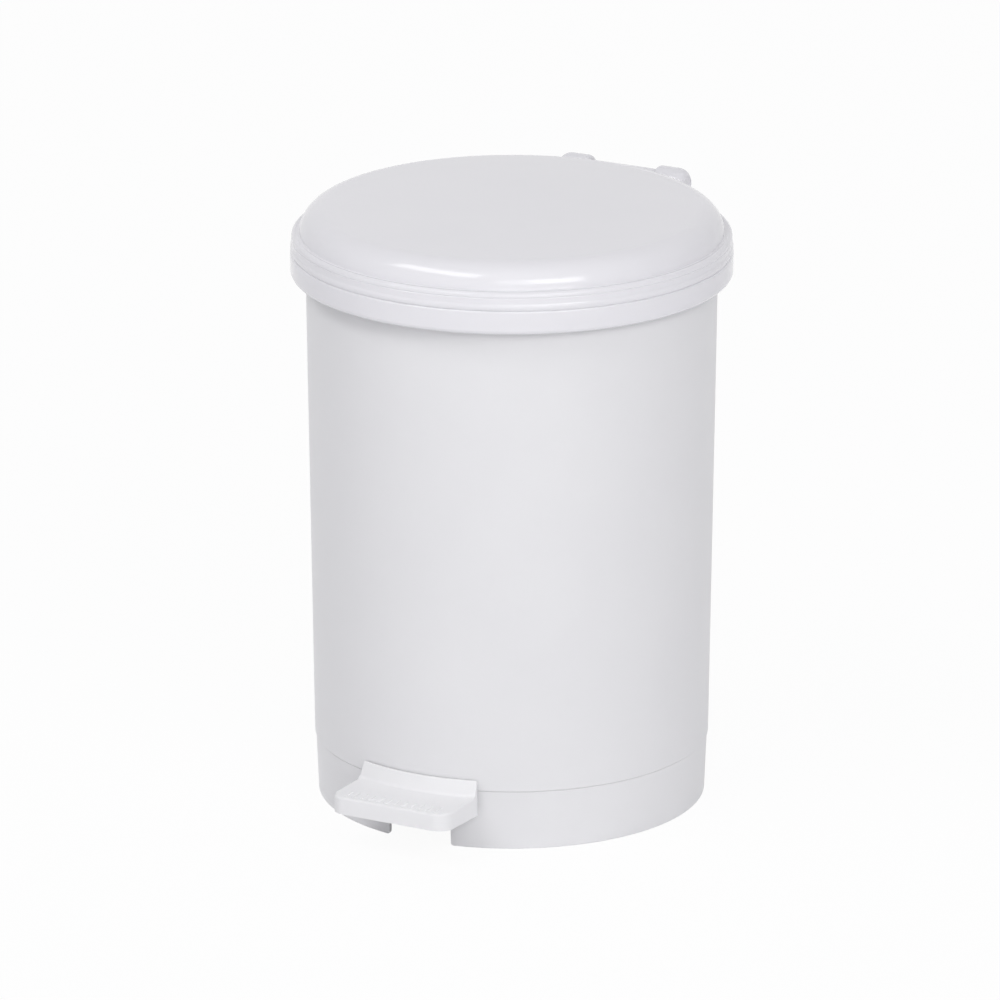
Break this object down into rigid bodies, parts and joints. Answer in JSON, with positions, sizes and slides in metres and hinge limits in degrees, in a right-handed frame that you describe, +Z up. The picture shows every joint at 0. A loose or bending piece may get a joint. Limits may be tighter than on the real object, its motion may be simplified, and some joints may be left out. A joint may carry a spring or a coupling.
{
  "type": "pedal trash can",
  "caption": "Round white plastic pedal bin with a domed hinged lid, an overhanging rim, a foot pedal on a set-back base, a push-rod linkage and a lift-out bucket.",
  "frame": {"origin": "centre of the base, on the floor", "axes": "+Z up, the pedal faces -Y, the lid hinge is at the back on +Y"},
  "size_m": [0.27, 0.316, 0.3744],
  "materials": {
    "white_satin": "satin moulded",
    "white_gloss": "gloss moulded",
    "white_pedal": "fine matt grain",
    "bucket_grey": "satin moulded",
    "nylon": "natural nylon",
    "steel": "drawn wire",
    "zinc_screw": "zinc plated",
    "soft_rubber": "soft matt"
  },
  "bodies": {
    "bin": {"drum_shell": "white_satin", "base_plinth": "white_satin", "base_screws": "zinc_screw", "top_collar": "white_gloss", "rod_guide_lower": "nylon", "rod_guide_upper": "nylon", "pedal_axle": "steel", "axle_saddle_left": "nylon", "axle_saddle_right": "nylon", "saddle_screws": "zinc_screw", "hinge_pin": "steel", "lid_buffers": "soft_rubber"},
    "lid": {"lid": "white_gloss", "lift_pin": "steel", "hinge_plugs": "white_gloss"},
    "pedal": {"pedal": "white_pedal", "pedal_lever": "steel", "pedal_screws": "zinc_screw", "axle_bush_left": "nylon", "axle_bush_right": "nylon", "tail_pin": "steel"},
    "push_rod": {"push_rod": "steel", "rod_fork": "nylon", "rod_head": "nylon"},
    "bucket": {"inner_bucket": "bucket_grey"},
    "bail": {"bail_wire": "steel", "bail_grip": "bucket_grey"}
  },
  "joints": [
    {"name": "lid_hinge", "type": "hinge", "parent": "bin", "child": "lid", "pos_m": [0, 0.147, 0.3546], "axis": [-1, 0, 0], "range_deg": [0, 68]},
    {"name": "pedal_pivot", "type": "hinge", "parent": "bin", "child": "pedal", "pos_m": [0, -0.07, 0.027], "axis": [1, 0, 0], "range_deg": [0, 12.63]},
    {"name": "rod_slide", "type": "slide", "parent": "bin", "child": "push_rod", "axis": [0, 0, 1], "range_m": [0, 0.03935]},
    {"name": "bucket_lift", "type": "slide", "parent": "bin", "child": "bucket", "axis": [0, 0, 1], "range_m": [0, 0.012]},
    {"name": "bail_swing", "type": "hinge", "parent": "bucket", "child": "bail", "pos_m": [0, 0, 0.3302], "axis": [-1, 0, 0], "range_deg": [0, 12]}
  ],
  "couplings": [
    {"joint": "pedal_pivot", "follows": "lid_hinge", "ratio": 0.18552},
    {"joint": "rod_slide", "follows": "lid_hinge", "m_per_rad": 0.033071}
  ]
}
